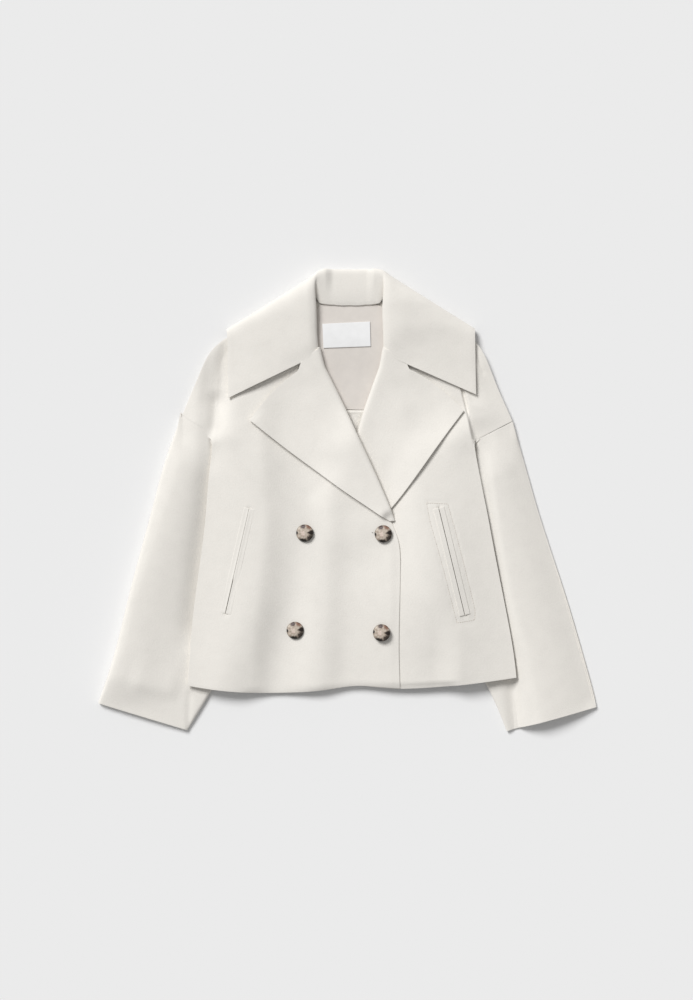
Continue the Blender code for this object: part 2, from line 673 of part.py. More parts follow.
def button(name, centre, panel):
    """Domed button on a short shank."""
    x, y = centre
    foot = [(x + dx, y + dy) for dx in (-6.0, 0.0, 6.0) for dy in (-6.0, 0.0, 6.0)]
    base = float(np.max(top_of(foot, (solid_of(panel),)))) + CLEARANCE
    radius = 0.5 * BUTTON_DIAMETER
    profile = [(0.0, 0.0), (0.5 * SHANK_DIAMETER, 0.0), (0.5 * SHANK_DIAMETER, 1.4)]
    profile += [(radius - 1.6, 1.9), (radius, 3.0)]
    for angle in (22, 44, 66):
        bend = math.radians(angle)
        profile.append((radius * math.cos(bend), 3.0 + (BUTTON_HEIGHT - 3.0) * math.sin(bend)))
    profile.append((0.0, BUTTON_HEIGHT))
    shape = bmesh.new()
    corners = [shape.verts.new((r * MM, 0.0, z * MM)) for r, z in profile]
    edges = [shape.edges.new(pair) for pair in zip(corners, corners[1:])]
    bmesh.ops.spin(
        shape, geom=corners + edges, axis=(0.0, 0.0, 1.0), cent=(0.0, 0.0, 0.0),
        steps=18, angle=math.tau, use_merge=True,
    )
    bmesh.ops.remove_doubles(shape, verts=shape.verts, dist=0.01 * MM)
    bmesh.ops.recalc_face_normals(shape, faces=shape.faces)
    bmesh.ops.transform(shape, matrix=Matrix.Translation((x * MM, y * MM, base * MM)), verts=shape.verts)
    place(name, shape, HORN)


def main():
    for leftover in list(bpy.data.objects):
        bpy.data.objects.remove(leftover)
    sleeve("sleeve_right", SLEEVE_RIGHT_ROWS)
    sleeve("sleeve_left", SLEEVE_LEFT_ROWS)
    lined_back = neck_pieces(back())
    left = front("front_left", FRONT_LEFT_ROWS, SHOULDER_LEFT, left_front_under, lined_back)
    left_lapel = lapel("lapel_left", LAPEL_LEFT_ROWS, left_front_under, 1, lined_back, (left,))
    under_right = (*lined_back, left, left_lapel)
    right = front("front_right", FRONT_RIGHT_ROWS, SHOULDER_RIGHT, right_front_under, under_right)
    right_lapel = lapel("lapel_right", LAPEL_RIGHT_ROWS, right_front_under, -1, under_right, (right,))
    collar((left, left_lapel, right, right_lapel))
    welts("left", POCKET_LEFT, left)
    welts("right", POCKET_RIGHT, right)
    for name, centre in BUTTONS.items():
        button(name, centre, right)


main()
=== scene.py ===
"""Dresses the laid short coat: brushed wool, lining, bare label, stitching, buttons, studio.

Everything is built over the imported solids, in metres with +Z up. The coat lies on z = 0
with its hem towards -Y. Left and right are the wearer's, so the right front is at -X.
"""

import math
from collections import namedtuple

import bmesh
import bpy
import numpy as np
from bpy.props import FloatProperty, FloatVectorProperty, PointerProperty
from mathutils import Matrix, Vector
from mathutils.bvhtree import BVHTree


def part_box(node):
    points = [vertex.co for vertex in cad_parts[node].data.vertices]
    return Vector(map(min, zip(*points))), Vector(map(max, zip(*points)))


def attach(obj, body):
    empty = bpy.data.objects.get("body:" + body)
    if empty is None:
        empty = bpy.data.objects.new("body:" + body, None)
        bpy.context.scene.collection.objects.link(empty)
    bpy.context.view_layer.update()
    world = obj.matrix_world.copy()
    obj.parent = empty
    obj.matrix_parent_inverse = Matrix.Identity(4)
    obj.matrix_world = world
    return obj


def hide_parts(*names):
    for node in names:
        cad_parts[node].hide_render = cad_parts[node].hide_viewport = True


bl_info = {
    "name": "Short Coat Looks",
    "version": (1, 0, 0),
    "blender": (4, 5, 0),
    "location": "View3D > Sidebar > Coat",
    "description": "Cloth, lining, stitching, buttons and studio for a short coat laid flat",
    "category": "Object",
}

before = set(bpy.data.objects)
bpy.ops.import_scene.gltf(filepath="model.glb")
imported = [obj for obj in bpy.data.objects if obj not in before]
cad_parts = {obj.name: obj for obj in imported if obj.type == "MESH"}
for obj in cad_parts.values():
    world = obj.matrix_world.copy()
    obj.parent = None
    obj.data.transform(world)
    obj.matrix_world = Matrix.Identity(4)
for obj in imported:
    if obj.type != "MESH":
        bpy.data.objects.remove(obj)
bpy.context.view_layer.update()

BODY = "root"
MM = 0.001

# Cuts: wall in mm, rounds of subdivision, the cut's width and length in m, the share of
# that rectangle that is cloth, and what the piece lies on
Cut = namedtuple("Cut", "wall levels width length share rests_on")
CLOTH_PIECES = {
    "back": Cut(
        wall=2.4, levels=2, width=0.500, length=0.590, share=0.80,
        rests_on=("sleeve_left", "sleeve_right"),
    ),
    "front_left": Cut(wall=2.4, levels=3, width=0.300, length=0.600, share=0.72, rests_on=("back",)),
    "front_right": Cut(
        wall=2.4, levels=3, width=0.330, length=0.605, share=0.72, rests_on=("back", "front_left"),
    ),
    "lapel_left": Cut(wall=2.6, levels=3, width=0.150, length=0.280, share=0.70, rests_on=("front_left",)),
    "lapel_right": Cut(wall=2.6, levels=3, width=0.150, length=0.280, share=0.58, rests_on=("front_right",)),
    "collar": Cut(
        wall=2.4, levels=2, width=0.560, length=0.190, share=0.60,
        rests_on=("front_left", "front_right"),
    ),
    "sleeve_left": Cut(wall=2.4, levels=3, width=0.330, length=0.450, share=0.96, rests_on=("floor",)),
    "sleeve_right": Cut(wall=2.4, levels=3, width=0.330, length=0.450, share=0.96, rests_on=("floor",)),
    "back_neck_lining": Cut(wall=0.9, levels=3, width=0.106, length=0.160, share=0.89, rests_on=("back",)),
    "lining_band": Cut(wall=0.9, levels=3, width=0.050, length=0.040, share=0.71, rests_on=("back",)),
    "neck_label": Cut(
        wall=0.8, levels=3, width=0.072, length=0.038, share=1.0, rests_on=("back_neck_lining",),
    ),
}
WELTS = [f"welt_{side}_{lip}" for side in ("left", "right") for lip in ("inner", "outer")]
for welt in WELTS:
    CLOTH_PIECES[welt] = Cut(
        wall=1.6, levels=2, width=0.010, length=0.164, share=0.90,
        rests_on=("front_left" if "left" in welt else "front_right",),
    )

# A swell of the laid cloth rises along a path of x, y. Its left and right widths are those
# of the picture beside a path that runs down it, and it fades out at both ends, all in mm.
# A swell that rises by less than nothing is a trough.
Swell = namedtuple("Swell", "path rise left right fade")

# Long folds of the body, which lift all that lies on the fronts
BODY_FOLDS = {
    "outside_buttons": Swell(
        path=((-126, 240), (-133, 90), (-126, -30), (-131, -90), (-137, -150), (-143, -210), (-150, -440)),
        rise=6.6, left=58, right=25, fade=150,
    ),
    "between_buttons": Swell(
        path=((-36, 170), (-33, -60), (-36, -440)),
        rise=6.2, left=40, right=26, fade=200,
    ),
    "beside_left_pocket": Swell(
        path=((92, 190), (106, 0), (112, -100), (115, -200), (118, -520)),
        rise=19.0, left=88, right=80, fade=330,
    ),
}
ON_BODY = ("front", "lapel", "collar", "welt")

# Swells and creases of one piece each
PIECE_SWELLS = {
    "front_right": {
        "shoulder": Swell(
            path=((-216, 270), (-222, 190), (-227, 130), (-232, 60)),
            rise=4.5, left=18, right=14, fade=60,
        ),
        "shoulder_crease": Swell(
            path=(
                (-176, 300), (-181, 232), (-186, 209), (-187, 179), (-192, 149), (-195, 119),
                (-201, 74), (-206, 20),
            ),
            rise=-3.6, left=10, right=18, fade=60,
        ),
        "crease_above_armhole": Swell(
            path=((-192, 168), (-194, 150), (-197, 119), (-201, 84)),
            rise=-5.5, left=13, right=12, fade=24,
        ),
    },
    "front_left": {
        "shoulder": Swell(
            path=((172, 225), (176, 180), (183, 150), (194, 96)),
            rise=3.5, left=6, right=38, fade=30,
        ),
    },
    "sleeve_right": {
        "crest": Swell(
            path=(
                (-216, 180), (-238, 89), (-254, 29), (-273, -31), (-293, -91), (-314, -151),
                (-326, -211), (-342, -256), (-354, -320),
            ),
            rise=11.5, left=30, right=56, fade=60,
        ),
        "valley_beside_body": Swell(
            path=(
                (-184, 160), (-196, 72), (-203, 30), (-208, -16), (-216, -75), (-225, -150),
                (-234, -240),
            ),
            rise=-7.0, left=19, right=20, fade=60,
        ),
        "cuff_swell": Swell(
            path=((-246, -290), (-330, -268)),
            rise=2.4, left=34, right=14, fade=24,
        ),
        "cuff_crease": Swell(
            path=((-236, -282), (-238, -352)),
            rise=-1.2, left=4, right=5, fade=12,
        ),
    },
    "sleeve_left": {
        "crest": Swell(
            path=(
                (184, 120), (204, 29), (222, -40), (238, -91), (252, -151), (269, -211),
                (283, -271), (300, -380),
            ),
            rise=10.5, left=24, right=60, fade=40,
        ),
        "valley_beside_body": Swell(
            path=((190, 130), (196, 89), (209, 0), (220, -90), (234, -180), (247, -263), (262, -400)),
            rise=-6.5, left=12, right=8, fade=30,
        ),
        "outer_fall": Swell(
            path=((260, 120), (281, 29), (314, -91), (341, -180), (363, -250), (388, -330)),
            rise=-6.5, left=27, right=30, fade=40,
        ),
    },
    "collar": {
        "dip_in_roll": Swell(
            path=((-34, 338), (42, 338)),
            rise=-5.0, left=26, right=26, fade=14,
        ),
        "right_leaf": Swell(
            path=((-150, 262), (-140, 150)),
            rise=1.6, left=30, right=34, fade=30,
        ),
        "left_leaf": Swell(
            path=((84, 330), (90, 222)),
            rise=3.6, left=24, right=66, fade=40,
        ),
    },
    "lapel_right": {
        "lifted_edge": Swell(
            path=((-150, 128), (-100, 85), (-30, 24), (60, -40)),
            rise=2.6, left=10, right=14, fade=20,
        ),
        "middle": Swell(
            path=((-62, 176), (-40, 110), (-4, 50)),
            rise=1.6, left=26, right=20, fade=40,
        ),
    },
    "lapel_left": {
        "middle": Swell(
            path=((92, 170), (74, 100), (50, 40)),
            rise=1.6, left=20, right=26, fade=40,
        ),
    },
    "lining_band": {
        "left_pleat": Swell(
            path=((9.5, 129), (12, 88)),
            rise=3.0, left=2.6, right=1.6, fade=4,
        ),
        "right_pleat": Swell(
            path=((16.5, 129), (15.5, 88)),
            rise=3.0, left=2.2, right=1.6, fade=4,
        ),
        "turned_edge": Swell(
            path=((-12, 131), (34, 131)),
            rise=1.6, left=4, right=3, fade=2,
        ),
    },
}

# The upper layer of a front or a sleeve, which alone swells: it starts at this height and
# counts in full this much higher, in mm
UPPER_LAYER = 3.0
UPPER_LAYER_FADE = 4.5

# Pocket slits from top to foot, and how far their welts and the welts' rims are sunk
POCKETS = {
    "right": {"slit": ((-145.5, -15.0), (-180.8, -167.0)), "sink": 1.55, "rim": 0.4},
    "left": {"slit": ((136.9, -14.0), (175.0, -170.0)), "sink": 1.05, "rim": 0.15},
}
# A welt's rim starts this far from the slit and counts in full so much further out, its
# ends reach so far in, and the slit gapes a little, all in mm
WELT_RIM_START = 0.8
WELT_RIM_WIDTH = 3.0
WELT_END = 4.0
SLIT_GAPE = 0.35
SLIT_GAPE_REACH = 4.0

# Stitched frame round the wearer's left pocket, clockwise from its top left, in mm
POCKET_FRAME = (
    (118.5, -5.0), (150.0, -6.5), (160.5, -44.0), (172.5, -91.0), (182.5, -131.0),
    (190.5, -163.0), (190.5, -178.0), (187.0, -180.0), (163.5, -183.5), (142.5, -101.0),
    (123.0, -31.0), (118.5, -5.0),
)

# Where the right lapel's lower end runs out on the front's edge: its line, how far the
# cloth round it is drawn in, the lapel's shift in x, y and z and the front's press, in mm
LAPEL_END = ((66.0, -32.0), (76.0, -42.0))
LAPEL_END_REACH = 20.0
LAPEL_END_SHIFT = (-2.5, 3.5, -4.4)
LAPEL_END_PRESS = 2.4

# Grooves pressed into the fronts: path, depth and half-width in mm
Groove = namedtuple("Groove", "path depth width")
GROOVES = {
    "front_left": {
        "slit": Groove(POCKETS["left"]["slit"], depth=4.5, width=3.4),
        "pocket_frame": Groove(POCKET_FRAME, depth=0.9, width=2.6),
        "shoulder_wrinkle": Groove(((192.0, 216.0), (204.0, 190.0)), depth=1.2, width=5.0),
        "side_fold": Groove(((171.0, 172.0), (179.5, 137.0), (189.0, 92.0)), depth=3.6, width=4.0),
    },
    "front_right": {
        "slit": Groove(POCKETS["right"]["slit"], depth=4.5, width=3.4),
        "front_edge": Groove(
            ((66.0, -19.0), (76.5, -43.0), (78.0, -91.0), (76.5, -211.0), (78.0, -300.0)),
            depth=1.4, width=14.0,
        ),
        "lapel_end": Groove(LAPEL_END, depth=LAPEL_END_PRESS, width=LAPEL_END_REACH),
    },
}

# Gorge seam, where the collar's front edge is sewn to the lapel's top: x, y at the roll
# and at the notch, in mm
GORGES = {
    "right": ((-41.0, 216.0), (-77.0, 197.0)),
    "left": ((55.0, 216.0), (95.0, 198.0)),
}
# The lapel's top runs up under the collar, less towards the notch, and the collar's edge
# sinks into it until past the notch; all in mm
GORGE_TUCK = 15.0
GORGE_TUCK_REACH = 22.0
GORGE_TUCK_FADE = 9.0
GORGE_LIFT = 0.3
GORGE_PRESS = 1.8
GORGE_PAST = 20.0
GORGE_PRESS_FADE = 28.0
GORGE_REACH = 26.0

# Armhole seams: x, y at the outer fold and at the side fold of the body, in mm
ARMHOLES = {
    "right": ((-248.5, 120.5), (-200.0, 88.0)),
    "left": ((247.5, 117.0), (188.5, 87.0)),
}
# The right front's lower rim sinks from SEAM_BLEND above the seam to SEAM_BELOW under it,
# in mm. It starts at a share of the seam and fades out towards the side fold.
SEAM_BLEND = 9.0
SEAM_SINK = 2.6
SEAM_BELOW = 4.0
SEAM_START = -0.1
SEAM_FADE_START = 0.7
SEAM_FADE = 0.3
# The sleeve's top meets the shoulder's height, taken at even shares of the seam. It lies a
# little lower, and lower still at the side fold; all others in mm.
SHOULDER_SAMPLES = {"first": 0.06, "last": 0.94, "count": 12}
SLEEVE_UNDER = 0.3
SLEEVE_CORNER_DROP = 3.2
SLEEVE_CORNER_START = 0.86
SLEEVE_CORNER_FADE = 0.12
SLEEVE_REACH = 75.0
SLEEVE_LAYER_FADE = 4.0
SLEEVE_TUCK = 10.0
SLEEVE_TUCK_REACH = 16.0

# Side fold of the left front above its armhole, from the armhole up: x, y in mm. Outside
# it the cloth falls to the shoulder's height within the fold's reach.
SIDE_FOLD = ((188.5, 87), (178, 137), (169.5, 167), (160, 224), (158, 240))
SIDE_FOLD_REACH = 6.0
SIDE_FOLD_STEP = 7.0
SIDE_FOLD_MARGIN = 2.0
SHOULDER_TOP = 236.0
SHOULDER_HEIGHT = 9.0

# Neckline seam of the collar: x and y as packed, in mm, and the shallow curve that it
# follows, which rises by SEAM_RISE at SEAM_HALF from its middle
SEAM_X = (-47.0, -38.0, -20.0, 4.0, 28.0, 46.0, 56.0)
SEAM_Y = (302.0, 300.0, 294.0, 291.5, 294.0, 300.0, 302.0)
SEAM_MIDDLE = (4.0, 291.0)
SEAM_RISE = 2.5
SEAM_HALF = 43.0
# The stand moves with the seam: how far up, how wide, and the place that bounds it
STAND_HEIGHT = 34.0
STAND_HALF = 52.0
STAND_SIDE_FADE = 8.0
STAND_FOOT_Y = 270.0
STAND_TOP_Z = 24.0
# The lining's top follows the seam up
LINING_TOP = {"shift": 8.0, "start": 272.0, "fade": 16.0}

# Hem line of the body, x and y in mm, and the heights that its layers settle towards
HEM_X = (-236, -153, -55, 76, 170, 250)
HEM_Y = (-276, -290, -289, -283, -278, -266)
HEM_LAYERS = {"back": 2.6, "front_left": 4.6, "front_right": 5.8}
# The hem drops by a share of its height over that. Along x the drop grows from its start
# and shrinks before its end, and it reaches so far up the cloth, in mm.
Drop = namedtuple("Drop", "start grow end shrink share reach")
HEM_FALL = Drop(start=-60.0, grow=60.0, end=172.0, shrink=45.0, share=0.42, reach=150.0)
HEM_ROLL = Drop(start=-165.0, grow=30.0, end=176.0, shrink=30.0, share=0.3, reach=9.0)
# Between two folds the lower edge rises a little
HEM_WAVE = {"x": 12.0, "width": 42.0, "rise": 5.0, "reach": 70.0}

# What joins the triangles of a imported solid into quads: points closer than WELD, in m, and
# angles in degrees. WALL_ANGLE is the fold past which the cloth wall turns away, and a
# face that looks straight up counts as FACING_WEIGHT metres higher.
WELD = 0.01 * MM
FLAT_ANGLE = 50
SQUARE_ANGLE = 70
WALL_ANGLE = 62
FACING_WEIGHT = 0.01

# Soft rim of a cloth wall: its width as a share of the wall, its steps, and the angle in
# degrees from which an edge is softened
RIM_SHARE = 0.3
RIM_SEGMENTS = 3
RIM_ANGLE = 58

# Thread stitches in mm: first and last are the shares of the pitch where one starts and
# ends, stand how far its middle is over the cloth, in radii. Its rings have a place along
# it, a size and how far they are sunk, in radii.
STITCH = {"length": 2.6, "gap": 0.9, "radius": 0.34, "first": 0.12, "last": 0.88, "stand": 0.35, "sides": 6}
STITCH_RINGS = (
    {"place": 0.0, "size": 0.3, "sink": 0.8},
    {"place": 0.2, "size": 1.0, "sink": 0.0},
    {"place": 0.8, "size": 1.0, "sink": 0.0},
    {"place": 1.0, "size": 0.3, "sink": 0.8},
)
# End of the right front's buttonhole that shows beside a button: x, y in mm, and the near-black colour of
# its stitches, which is painted shade of the buttonhole's open slit
BUTTONHOLE_END = ((36.5, -49.4), (43.5, -49.6))
BUTTONHOLE_SLIT_SHADE = (0.05, 0.035, 0.03)
# Height above the floor from which the cloth's height is probed, in m
RAY_HEIGHT = 0.2

# Wool: sizes and depths in m, weights of tufts and mottling, shades of the cloth's colour
WOOL_MOTTLE = {"size": 0.020, "detail": 3.0, "weight": 0.45}
WOOL_TUFT = {"detail": 3.0, "weight": 0.55, "depth": 0.00035}
WOOL_FIBRE = {"share": 0.35, "detail": 2.0, "depth": 0.00012}
WOOL_SHADES = ((0.30, 0.955), (0.50, 1.0), (0.72, 1.03))
WOOL_SURFACE = {
    "Roughness": 0.92, "Specular IOR Level": 0.2, "Sheen Weight": 0.12, "Sheen Roughness": 0.6,
}
# Lining, label and thread: length of a wave texture's band at scale 1, and rib depth in m
BAND_LENGTH = 0.314
SATIN_MOTTLE = {"size": 0.012, "detail": 2.0}
SATIN_SHADES = ((0.3, 0.97), (0.7, 1.02))
SATIN_RIB_DEPTH = 0.00006
SATIN_RIB_WAVER = 0.6
GLOSS = 0.35
# Roughness and rib spacing, in m, of each
LINING_WEAVE = {"roughness": 0.6, "spacing": 0.0012}
LABEL_WEAVE = {"roughness": 0.55, "spacing": 0.0007}
THREAD_TWIST = {"roughness": 0.7, "spacing": 0.0004}

# Tortoiseshell patches of a button: angle in degrees and distance as a share of the
# radius, half-size as spread and depth, strength and colour
Patch = namedtuple("Patch", "angle radius spread depth strength colour")
BUTTON_PATCHES = {
    # The pale middle is partly the shell's own pale ground and partly a painted highlight
    "pale_middle_and_highlight": Patch(190, 0.12, 90, 0.32, 0.75, (0.800, 0.670, 0.600)),
    "red_brown": Patch(58, 0.86, 26, 0.30, 0.85, (0.200, 0.090, 0.055)),
    "dark_top": Patch(104, 0.78, 24, 0.24, 1.0, (0.045, 0.016, 0.012)),
    "dark_left": Patch(178, 0.94, 13, 0.18, 1.0, (0.020, 0.018, 0.015)),
    "dark_foot": Patch(258, 0.92, 34, 0.34, 1.0, (0.022, 0.018, 0.014)),
    "dark_lower_right": Patch(318, 0.86, 32, 0.46, 0.95, (0.030, 0.021, 0.015)),
    "dark_right": Patch(4, 0.74, 24, 0.46, 1.0, (0.022, 0.016, 0.012)),
}
BUTTON_GROUND = (0.560, 0.490, 0.415)
# Rays and veins go round the button count times and curl towards the rim, in radians
BUTTON_RAYS = {"count": 11, "curl": 3.0, "shade": 0.22}
BUTTON_VEINS = ({"count": 7, "curl": 7.0}, {"count": 4, "curl": -9.0})
VEIN_SHADE = 0.36
VEIN_TINT = (0.75, 0.9, 1.0)
VEIN_CLEAR = 0.3
# A patch's ragged edge: waves round the button, turned by a multiple of its own angle
PATCH_WAVES = ({"count": 6, "turn": 5, "depth": 0.2}, {"count": 13, "turn": -1, "depth": 0.14})
PATCH_SLOPE = 1.9
PATCH_REACH = 0.25
# Painted shade that darkens every button's rim all round: where it starts and how far it fades in, as shares
# of the radius, and how much darker it makes the colour
BUTTON_RIM_SHADE = {"start": 0.93, "fade": 0.06, "shade": 0.55}
BUTTON_SURFACE = {"Roughness": 0.42, "Specular IOR Level": GLOSS}

# Buttons: radius as a share of the solid's, then foot and rim as shares of the button's
# radius and height from the cloth up, and the dome above them, its angles in degrees
BUTTON_SHARE = 0.92
BUTTON_FOOT = ((0.0, 0.0), (0.28, 0.0), (0.28, 0.20), (0.86, 0.24), (0.97, 0.34), (1.0, 0.46))
BUTTON_DOME = {"radius": 0.99, "middle": 0.5, "angles": (8, 20, 32, 44, 56, 68, 79)}
BUTTON_STEPS = 96
BUTTON_WELD = 0.005 * MM
# Edges taller than this, in m, are halved in each of two rounds, so that the painted
# patches stay sharp
BUTTON_EDGE = 0.3 * MM
# How far a button is sunk, and how far from its middle the cloth's lean is felt, in mm
BUTTON_SINK = 1.2
BUTTON_LEAN_REACH = 10.0
# Turn of each button's pattern, in degrees
BUTTON_TURNS = {
    "button_upper_right": 0,
    "button_upper_left": 6,
    "button_lower_right": 4,
    "button_lower_left": -6,
}

# Direction that the key light comes from: the picture's upper left
KEY_FROM = (-0.58, 0.78, 0.88)
# Half the floor's side and how far it lies below the coat, in m, and the sensor's height
# in mm
FLOOR_HALF = 4.0
FLOOR_DROP = 0.0004
SENSOR = 36.0
# The photo's middle lies about half a pixel off the coat's origin, in m
CAMERA_PLACE = (-0.00075, -0.0006)


class CoatClothSettings(bpy.types.PropertyGroup):
    wool_colour: FloatVectorProperty(
        name="Wool Colour", description="Wool of the body, sleeves, collar and lapels",
        default=(0.790, 0.760, 0.710), subtype="COLOR", min=0.0, max=1.0,
    )
    lining_colour: FloatVectorProperty(
        name="Lining Colour", description="Smooth lining of the back",
        default=(0.700, 0.655, 0.610), subtype="COLOR", min=0.0, max=1.0,
    )
    label_colour: FloatVectorProperty(
        name="Label Colour", description="Bare woven label",
        default=(0.860, 0.860, 0.860), subtype="COLOR", min=0.0, max=1.0,
    )
    thread_colour: FloatVectorProperty(
        name="Thread Colour", description="Sewing thread of the pocket frame",
        default=(0.560, 0.505, 0.440), subtype="COLOR", min=0.0, max=1.0,
    )
    nap_size: FloatProperty(
        name="Nap Size", description="Size of the tufts of the brushed wool",
        default=0.0016, unit="LENGTH", min=0.0002, max=0.01,
    )


class CoatStageSettings(bpy.types.PropertyGroup):
    camera_height: FloatProperty(
        name="Camera Height", description="Height of the camera above the floor",
        default=3.5, unit="LENGTH", min=1.0, max=10.0,
    )
    view_height: FloatProperty(
        name="View Height", description="Length of floor that the picture's height takes in",
        default=1.5, unit="LENGTH", min=0.5, max=4.0,
    )
    floor_colour: FloatVectorProperty(
        name="Floor Colour", description="Plain pale floor",
        default=(0.830, 0.830, 0.830), subtype="COLOR", min=0.0, max=1.0,
    )
    key_strength: FloatProperty(
        name="Key Strength", description="Strength of the soft light from the upper left",
        default=2.95, min=0.0, max=20.0,
    )
    key_softness: FloatProperty(
        name="Key Softness", description="Angle that the key light fills, seen from the coat",
        default=math.radians(26), subtype="ANGLE", min=0.0, max=math.pi,
    )
    room_strength: FloatProperty(
        name="Room Strength", description="Strength of the white room all round",
        default=0.37, min=0.0, max=5.0,
    )


def new_piece(name, mesh):
    piece = bpy.data.objects.new(name, mesh)
    bpy.context.scene.collection.objects.link(piece)
    return piece


def smoothstep(value):
    """0 below 0, 1 above 1, with a soft step between."""
    value = np.clip(value, 0.0, 1.0)
    return value * value * (3.0 - 2.0 * value)


def beside(path, corners):
    """Of corners, in plan: distance to a path, side of it, place along it and its length."""
    path = np.asarray(path, float)
    away = np.full(len(corners), 1e9)
    side = np.zeros(len(corners))
    along = np.zeros(len(corners))
    run = 0.0
    for start, end in zip(path, path[1:]):
        step = end - start
        length = np.hypot(*step)
        share = np.clip(((corners[:, :2] - start) @ step) / length**2, 0.0, 1.0)
        offset = corners[:, :2] - (start + share[:, None] * step)
        distance = np.hypot(offset[:, 0], offset[:, 1])
        nearer = distance < away
        away[nearer] = distance[nearer]
        turned = step[0] * offset[:, 1] - step[1] * offset[:, 0]
        side[nearer] = np.sign(turned[nearer])
        along[nearer] = run + share[nearer] * length
        run += length
    return away, side, along, run


def swell(corners, facts):
    """How far the corners rise beside the swell's path."""
    away, side, along, length = beside(facts.path, corners)
    width = np.where(side > 0.0, facts.right, facts.left)
    ends = smoothstep(along / facts.fade) * smoothstep((length - along) / facts.fade)
    return facts.rise * np.exp(-((away / width) ** 2)) * ends


def body_rise(corners):
    """How far the body's long folds lift what lies on the fronts."""
    return sum(swell(corners, fold) for fold in BODY_FOLDS.values())


def tuck_gorge(corners, side, node):
    """Runs the lapel's top in under the collar, or sinks the collar's edge into it."""
    roll, notch = np.array(GORGES[side])
    if node == "collar":
        past = notch + (notch - roll) * GORGE_PAST / np.hypot(*(notch - roll))
        away, _, along, length = beside((roll, past), corners)
        held = smoothstep((length - along) / GORGE_PRESS_FADE)
        corners[:, 2] -= GORGE_PRESS * held * smoothstep(1.0 - away / GORGE_REACH)
        return
    away, _, along, length = beside((roll, notch), corners)
    held = smoothstep((length - along) / GORGE_TUCK_FADE)
    corners[:, 2] += GORGE_LIFT * held * smoothstep(1.0 - away / GORGE_REACH)
    corners[:, 1] += GORGE_TUCK * held * smoothstep(1.0 - away / GORGE_TUCK_REACH)


def press_shoulder(corners):
    """Drops the left front steeply outside its side fold, where it lies over the shoulder."""
    fold = np.asarray(SIDE_FOLD, float)
    past = corners[:, 0] - np.interp(corners[:, 1], fold[:, 1], fold[:, 0])
    above = corners[:, 1] > fold[0, 1] - SIDE_FOLD_MARGIN
    outside = (past > 0.0) & above & (corners[:, 1] < SHOULDER_TOP)
    limit = SHOULDER_HEIGHT + SIDE_FOLD_STEP * (1.0 - smoothstep(past / SIDE_FOLD_REACH))
    corners[outside, 2] = np.minimum(corners[outside, 2], limit[outside])


def seam_place(corners, side):
    """Share of the way along an armhole seam, and how far below the seam, in mm."""
    (outer_x, outer_y), (inner_x, inner_y) = ARMHOLES[side]
    share = (corners[:, 0] - outer_x) / (inner_x - outer_x)
    return share, outer_y + share * (inner_y - outer_y) - corners[:, 1]


def shoulder_heights(side):
    """Heights of the shoulder's cloth just above its armhole seam, at even shares."""
    shoulder = height_finder("front_" + side)
    outer, inner = np.array(ARMHOLES[side])
    shares = np.linspace(SHOULDER_SAMPLES["first"], SHOULDER_SAMPLES["last"], SHOULDER_SAMPLES["count"])
    spots = [outer + share * (inner - outer) for share in shares]
    return shares, np.array([shoulder(x, y + SEAM_BLEND) for x, y in spots])


def meet_shoulder(corners, side):
    """Brings the sleeve's top to the height of the shoulder along the armhole."""
    share, below = seam_place(corners, side)
    wanted = np.interp(share, *shoulder_heights(side)) - SLEEVE_UNDER
    corner = smoothstep((share - SLEEVE_CORNER_START) / SLEEVE_CORNER_FADE)
    wanted = wanted - SLEEVE_CORNER_DROP * corner
    upper = smoothstep((corners[:, 2] - UPPER_LAYER) / SLEEVE_LAYER_FADE)
    near = smoothstep(1.0 - below / SLEEVE_REACH) * upper
    corners[:, 2] += (wanted - corners[:, 2]) * near
    if side == "right":
        corners[:, 1] += SLEEVE_TUCK * smoothstep(1.0 - np.abs(below) / SLEEVE_TUCK_REACH) * near


def blend_seam(corners, side):
    """Sinks the shoulder's lower rim into the sleeve, so that no step shows."""
    share, below = seam_place(corners, side)
    near = smoothstep(1.0 + below / SEAM_BLEND) * (share > SEAM_START) * (below < SEAM_BELOW)
    near = near * (1.0 - smoothstep((share - SEAM_FADE_START) / SEAM_FADE))
    corners[:, 2] -= SEAM_SINK * near


def sink_welt(corners, side):
    """Sinks a welt, most at its outer rim and ends, so that it lies nearly flush."""
    pocket = POCKETS[side]
    away, beyond, along, length = beside(pocket["slit"], corners)
    outer = smoothstep((away - WELT_RIM_START) / WELT_RIM_WIDTH)
    ends = smoothstep(1.0 - np.minimum(along, length - along) / WELT_END)
    corners[:, 2] -= pocket["sink"] + pocket["rim"] * np.maximum(outer, ends)
    corners[:, 0] += SLIT_GAPE * beyond * smoothstep(1.0 - away / SLIT_GAPE_REACH)


def settle_hem(corners, node):
    """Lets the hem fall towards the floor between the sleeves, with a rolled lower edge."""
    x, y = corners[:, 0], corners[:, 1]
    above = y - np.interp(x, HEM_X, HEM_Y)
    for drop in (HEM_FALL, HEM_ROLL):
        open_hem = smoothstep((x - drop.start) / drop.grow) * smoothstep((drop.end - x) / drop.shrink)
        over = np.maximum(corners[:, 2] - HEM_LAYERS[node], 0.0)
        corners[:, 2] -= drop.share * over * open_hem * smoothstep(1.0 - above / drop.reach)
    raised = np.exp(-(((x - HEM_WAVE["x"]) / HEM_WAVE["width"]) ** 2))
    corners[:, 1] += HEM_WAVE["rise"] * raised * smoothstep(1.0 - above / HEM_WAVE["reach"])


def groove(corners, facts):
    """Presses a groove along its path."""
    away, _, _, _ = beside(facts.path, corners)
    corners[:, 2] -= facts.depth * smoothstep(1.0 - away / facts.width)


